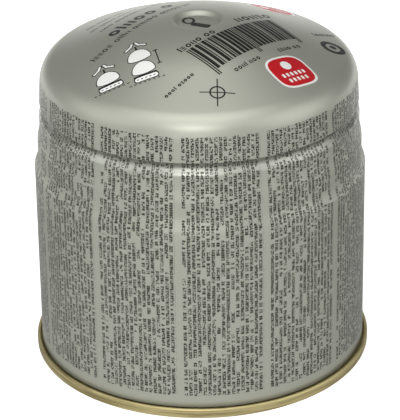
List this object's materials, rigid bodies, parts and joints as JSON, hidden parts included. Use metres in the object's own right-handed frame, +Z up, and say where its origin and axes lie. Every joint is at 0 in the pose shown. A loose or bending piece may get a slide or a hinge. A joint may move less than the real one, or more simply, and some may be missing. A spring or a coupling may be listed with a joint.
{
  "type": "fuel canister",
  "caption": "Pierceable fuel canister: a sealed round steel can with a domed top, a pressed dimple for the needle, a grooved neck and a gold seamed base end.",
  "frame": {"origin": "centre of the seam's foot, on the surface that the canister stands on", "axes": "+Z up along the can's axis, towards the dimple; -Y towards the viewer of the picture; +X to the right"},
  "size_m": [0.0928, 0.0928, 0.0956],
  "materials": {
    "printed_tin": "satin silver-grey print under clear lacquer",
    "gold_lacquer": "semi-gloss gold lacquer"
  },
  "bodies": {
    "root": {"can_body": "printed_tin", "base_end": "gold_lacquer"}
  },
  "joints": []
}
